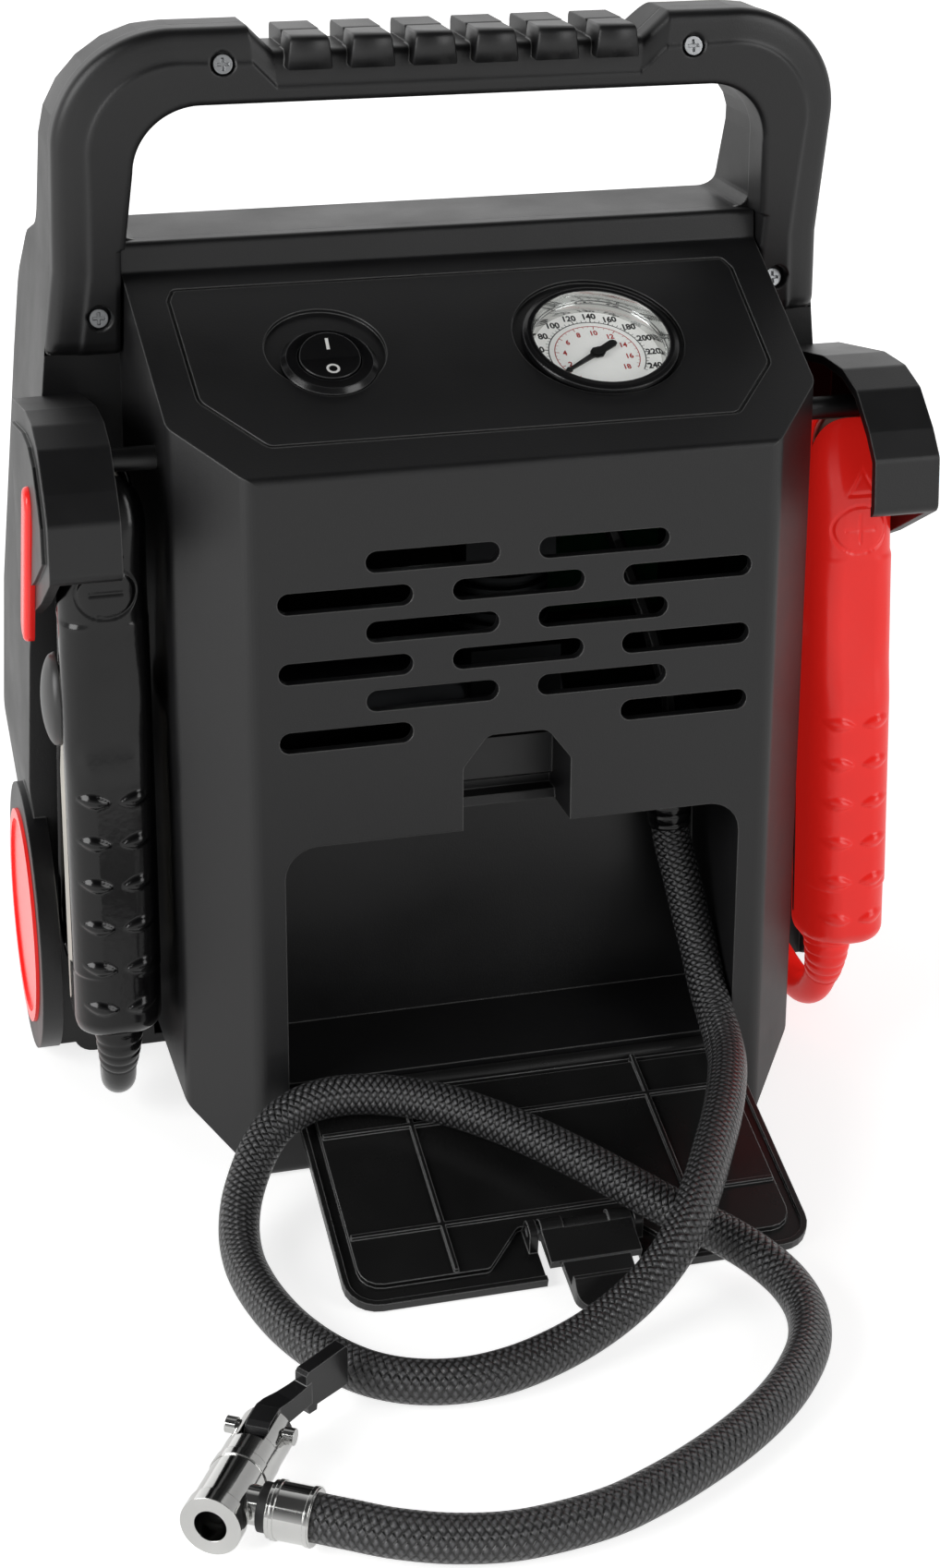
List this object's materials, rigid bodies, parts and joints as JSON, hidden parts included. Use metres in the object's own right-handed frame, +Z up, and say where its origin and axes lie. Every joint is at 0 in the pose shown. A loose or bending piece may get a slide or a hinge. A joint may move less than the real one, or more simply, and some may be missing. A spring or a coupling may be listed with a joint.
{
  "type": "jump starter pack",
  "caption": "Portable jump starter with carrying handle, battery clamps in side holsters, air compressor gauge and switch, and a drop-down hose door with tyre hose.",
  "frame": {"origin": "middle of the box round the pack, on the ground that it stands on", "axes": "+X to the right as the instrument panel is faced, +Y away from the instrument panel, +Z up"},
  "size_m": [0.2528, 0.3317, 0.311],
  "materials": {
    "housing_abs": "fine textured moulded ABS, near black",
    "trim_plastic": "smooth black nylon with a low sheen",
    "screw_steel": "nickel-plated steel",
    "dial_white": "white enamelled sheet with printed figures and ticks",
    "needle_black": "black stamped pointer",
    "clear_glass": "clear moulded window",
    "red_plastic": "glossy red ABS",
    "red_grip": "glossy red PVC dip and cable jacket",
    "black_grip": "black PVC dip and cable jacket with a soft sheen",
    "clamp_steel": "pressed zinc-plated steel",
    "braid": "black braided textile over rubber hose",
    "chrome": "bright chrome-plated brass",
    "black_rubber": "black moulded rubber",
    "battery_case": "grey case of a sealed lead-acid battery",
    "compressor_metal": "cast and turned aluminium",
    "clear_tube": "natural nylon air tube",
    "board_green": "green laminate circuit board",
    "reflector": "metallised reflector"
  },
  "bodies": {
    "case": {"rear_housing": "housing_abs", "front_housing": "housing_abs", "handle_rear_shell": "housing_abs", "handle_screws": "screw_steel", "frame_screws": "screw_steel", "switch_bezel": "trim_plastic", "gauge_case": "trim_plastic", "gauge_dial": "dial_white", "gauge_lens": "clear_glass", "left_holster": "housing_abs", "right_holster": "housing_abs", "clamp_rods": "housing_abs", "accent_bars": "red_plastic", "side_discs": "red_plastic", "red_front_arm": "clamp_steel", "red_front_sleeve": "red_grip", "red_pivot": "clamp_steel", "red_spring": "clamp_steel", "black_front_arm": "clamp_steel", "black_front_sleeve": "black_grip", "black_pivot": "clamp_steel", "black_spring": "clamp_steel", "red_jump_cable": "red_grip", "black_jump_cable": "black_grip", "cable_glands": "trim_plastic", "air_hose": "braid", "hose_gland": "trim_plastic", "hose_ferrule": "chrome", "chuck_elbow": "black_rubber", "chuck_body": "chrome", "chuck_seal": "black_rubber", "chuck_pin": "chrome", "battery": "battery_case", "compressor_motor": "compressor_metal", "compressor_crankcase": "compressor_metal", "compressor_cylinder": "compressor_metal", "air_tube": "clear_tube", "control_board": "board_green", "lamp_reflector": "reflector", "lamp_bulb": "clear_glass", "lamp_lens": "clear_glass", "power_socket": "trim_plastic"},
    "door": {"hose_door": "housing_abs", "door_hinge_pins": "screw_steel", "latch_pin": "screw_steel"},
    "clip": {"latch_clip": "housing_abs"},
    "compressor_rocker": {"switch_rocker": "trim_plastic"},
    "needle": {"gauge_needle": "needle_black"},
    "red_lever": {"red_rear_arm": "clamp_steel", "red_rear_sleeve": "red_grip"},
    "black_lever": {"black_rear_arm": "clamp_steel", "black_rear_sleeve": "black_grip"},
    "chuck_thumb_lever": {"chuck_lever": "trim_plastic"},
    "cap": {"socket_cap": "black_rubber"},
    "battery_test_button": {"test_button": "red_plastic"},
    "lamp_rocker": {"lamp_switch": "trim_plastic"}
  },
  "joints": [
    {"name": "door_hinge", "type": "hinge", "parent": "case", "child": "door", "pos_m": [0, -0.03461, 0.0234], "axis": [1, 0, 0], "range_deg": [-106.9, 0], "deforming": ["air_hose"]},
    {"name": "latch_pivot", "type": "hinge", "parent": "door", "child": "clip", "pos_m": [0.0025, -0.09473, 0.00973], "axis": [1, 0, 0], "range_deg": [-13, 0]},
    {"name": "compressor_switch", "type": "hinge", "parent": "case", "child": "compressor_rocker", "pos_m": [-0.0425, 0.00321, 0.22351], "axis": [1, 0, 0], "range_deg": [-16, 0]},
    {"name": "gauge_needle_spin", "type": "hinge", "parent": "case", "child": "needle", "pos_m": [0.0345, 0.00489, 0.22389], "axis": [0, -0.4399, 0.898], "range_deg": [-270, 0], "stiffness_Nm_per_rad": 0.0005},
    {"name": "red_clamp_squeeze", "type": "hinge", "parent": "case", "child": "red_lever", "pos_m": [0.107, 0.00789, 0.134], "axis": [1, 0, 0], "range_deg": [-10, 0], "stiffness_Nm_per_rad": 4, "springref_deg": 17.19, "deforming": ["red_spring"]},
    {"name": "black_clamp_squeeze", "type": "hinge", "parent": "case", "child": "black_lever", "pos_m": [-0.107, 0.00789, 0.134], "axis": [1, 0, 0], "range_deg": [-10, 0], "stiffness_Nm_per_rad": 4, "springref_deg": 17.19, "deforming": ["black_spring"]},
    {"name": "chuck_lever_lift", "type": "hinge", "parent": "case", "child": "chuck_thumb_lever", "pos_m": [-0.09724, -0.16047, 0.0105], "axis": [0.848, -0.5299, 0], "range_deg": [0, 90]},
    {"name": "socket_cap_hinge", "type": "hinge", "parent": "case", "child": "cap", "pos_m": [-0.052, 0.11889, 0.147], "axis": [1, 0, 0], "range_deg": [0, 110]},
    {"name": "test_button_press", "type": "slide", "parent": "case", "child": "battery_test_button", "axis": [0, -1, 0], "range_m": [0, 0.0015], "stiffness_N_per_m": 800, "springref_m": -0.0005},
    {"name": "lamp_switch_rock", "type": "hinge", "parent": "case", "child": "lamp_rocker", "pos_m": [0.066, 0.11489, 0.122], "axis": [1, 0, 0], "range_deg": [-10, 0]}
  ]
}
